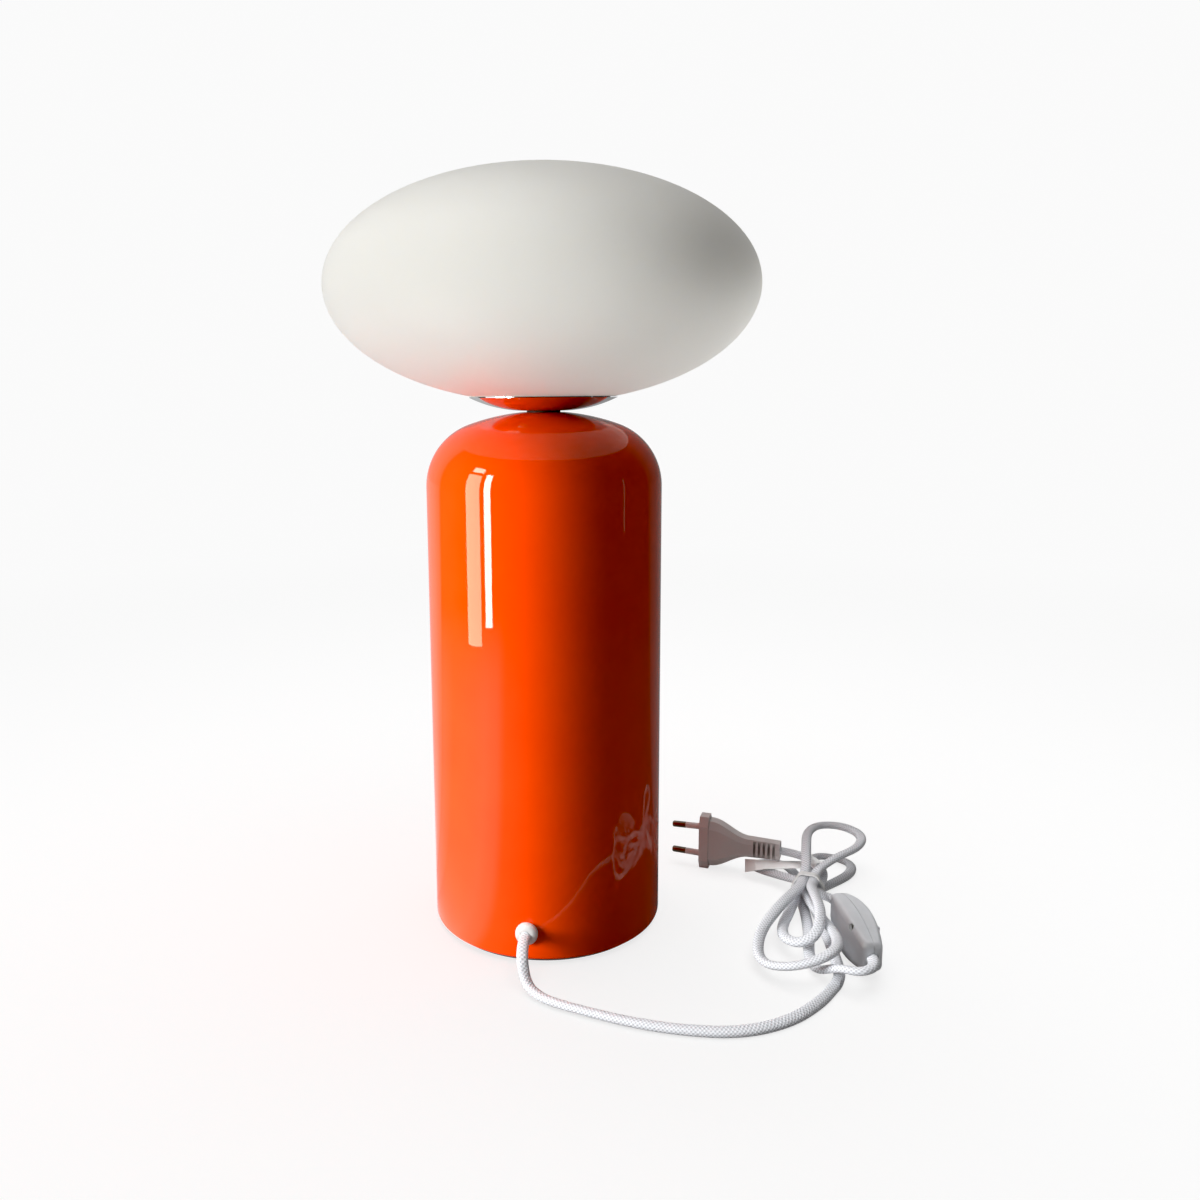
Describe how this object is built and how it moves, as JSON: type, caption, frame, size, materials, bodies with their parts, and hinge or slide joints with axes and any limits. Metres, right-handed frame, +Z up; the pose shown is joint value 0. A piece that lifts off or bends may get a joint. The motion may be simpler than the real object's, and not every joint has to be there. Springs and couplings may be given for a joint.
{
  "type": "table lamp",
  "caption": "Table lamp with a domed cylinder base, a chromed cup, a flattened opal glass shade, and a textile cord with an in-line switch and a plug.",
  "frame": {"origin": "middle of the underside of the base, on the table", "axes": "+Z up along the lamp's axis, -Y towards the grommet where the cord leaves the base"},
  "size_m": [0.3166, 0.2413, 0.4301],
  "materials": {
    "orange_lacquer": "gloss lacquer",
    "steel": "zinc plated",
    "iron": "raw",
    "pad_rubber": "matt",
    "chrome": "mirror",
    "seat_silicone": "matt",
    "opal_glass": "satin opal",
    "white_plastic": "satin",
    "brass": "bare",
    "lamp_cap_metal": "bare",
    "lamp_opal": "satin opal",
    "white_textile": "braided",
    "wire_plastic": "satin"
  },
  "bodies": {
    "lamp": {"ballast_disc": "iron", "ballast_nut": "steel", "base_pad": "pad_rubber", "base_plate": "steel", "base_screws": "steel", "base_shell": "orange_lacquer", "centre_contact": "brass", "clinch_nuts": "steel", "clip_rivets": "steel", "cord_clip": "white_plastic", "cord_hank": "white_textile", "cord_inner": "white_textile", "cord_label": "white_plastic", "cord_run": "white_textile", "cord_tail": "white_textile", "cup": "chrome", "cup_gasket": "pad_rubber", "cup_spacer": "steel", "dome_washer": "steel", "grommet": "white_plastic", "hank_tie": "white_plastic", "holder_plate": "steel", "lamp_cap": "lamp_cap_metal", "lamp_collar": "white_plastic", "lamp_globe": "lamp_opal", "lamp_tip": "brass", "lampholder_cap": "white_plastic", "lampholder_insulator": "white_plastic", "lampholder_skirt": "white_plastic", "lampholder_wires": "wire_plastic", "nipple": "steel", "nipple_nut": "steel", "plug_body": "white_plastic", "plug_pins": "brass", "plug_sleeves": "white_plastic", "seat_ring": "seat_silicone", "socket_shell": "brass", "spring_clips": "steel", "switch_case_screws": "steel", "switch_lower_case": "white_plastic", "switch_terminal_screws": "steel", "switch_terminals": "brass", "switch_upper_case": "white_plastic", "terminal_screws": "steel"},
    "shade": {"shade_glass": "opal_glass"},
    "rocker": {"switch_rocker": "white_plastic", "switch_plunger": "white_plastic", "switch_spring": "steel", "switch_bridge": "brass"}
  },
  "joints": [
    {"name": "shade_lift", "type": "slide", "parent": "lamp", "child": "shade", "axis": [0, 0, 1], "range_m": [0, 0.12]},
    {"name": "rocker_tilt", "type": "hinge", "parent": "lamp", "child": "rocker", "pos_m": [0.18203, -0.02678, 0.013], "axis": [0, 0, -1], "range_deg": [0, 14]}
  ]
}
